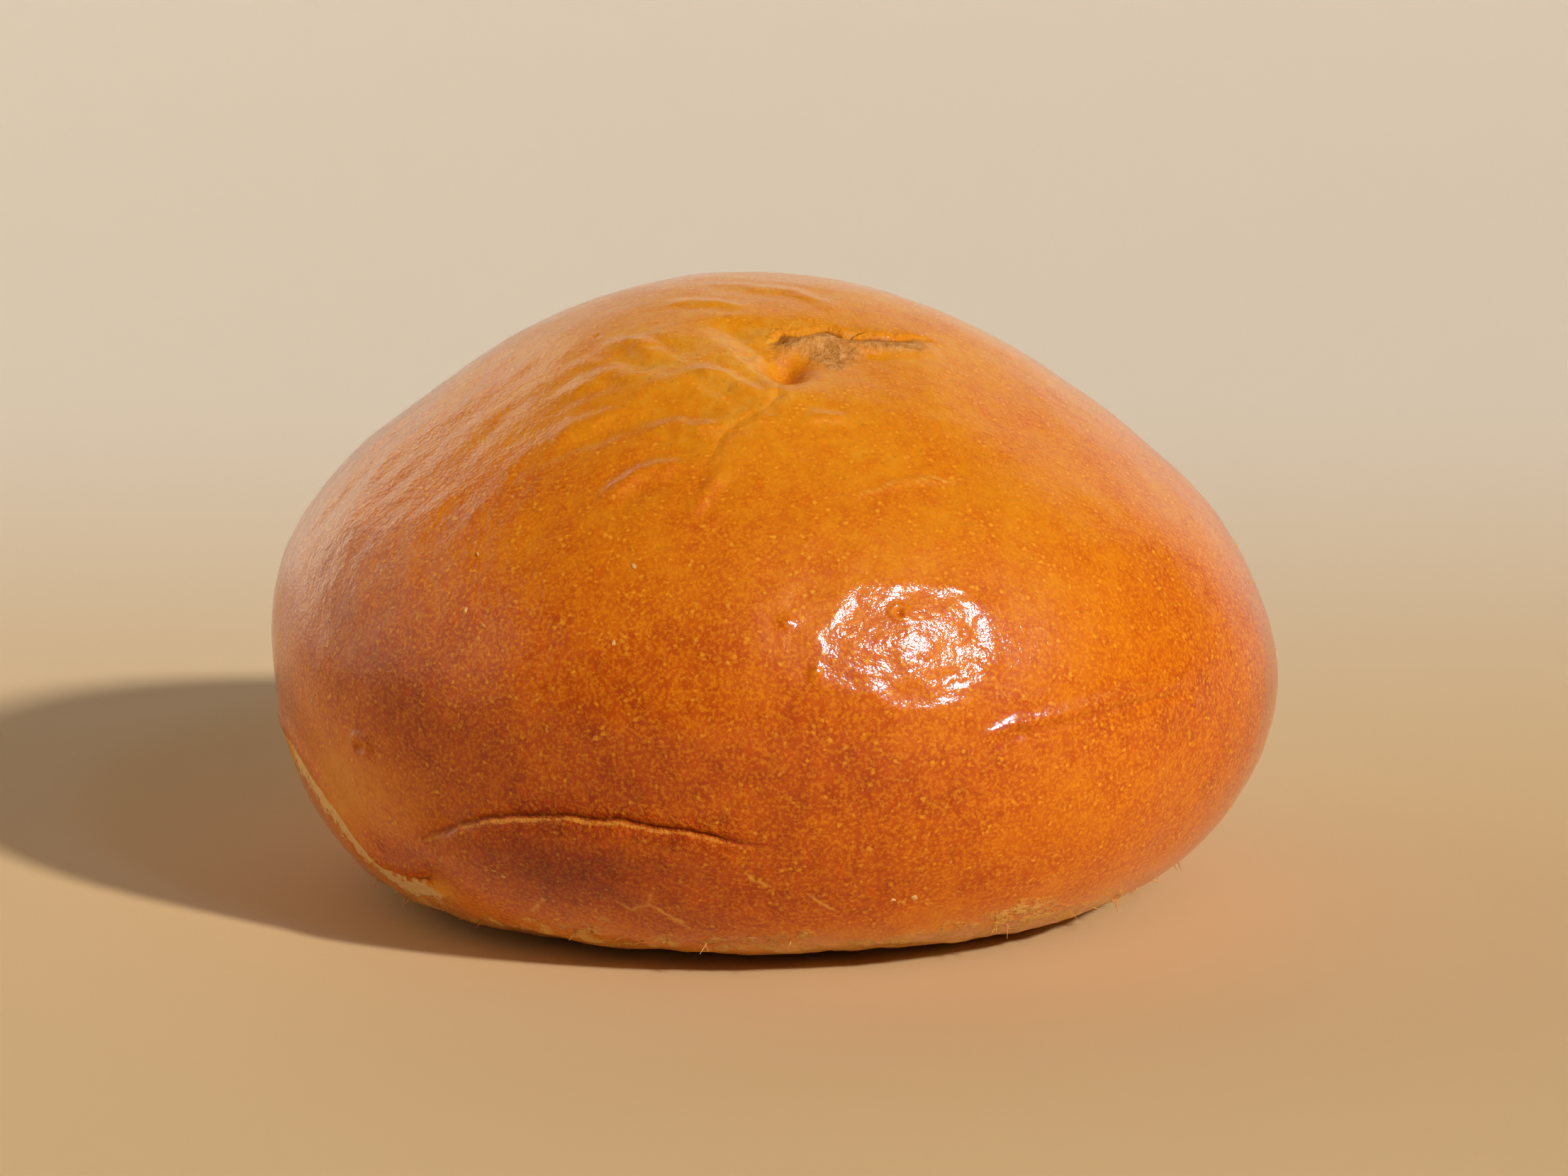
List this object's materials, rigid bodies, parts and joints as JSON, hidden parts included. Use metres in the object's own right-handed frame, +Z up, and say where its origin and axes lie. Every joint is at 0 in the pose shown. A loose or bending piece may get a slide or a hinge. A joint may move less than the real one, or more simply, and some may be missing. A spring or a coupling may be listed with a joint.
{
  "type": "bread roll",
  "caption": "Round butter-glazed bread roll, baked as one piece, with a domed crust that curves in to a small flat base it rests on.",
  "frame": {"origin": "under the middle of the roll's bounding box, on the flat base it rests on", "axes": "+Z up through the crown, +X along the roll's slightly longer side, -Y the side with the fold low on the crust"},
  "size_m": [0.106, 0.102, 0.064],
  "materials": {
    "glazed_crust": "buttered and egg-washed crust, golden on the crown and red-brown low on the sides, glossy where the glaze lies and matte at the base"
  },
  "bodies": {
    "root": {"bread_roll": "glazed_crust"}
  },
  "joints": []
}
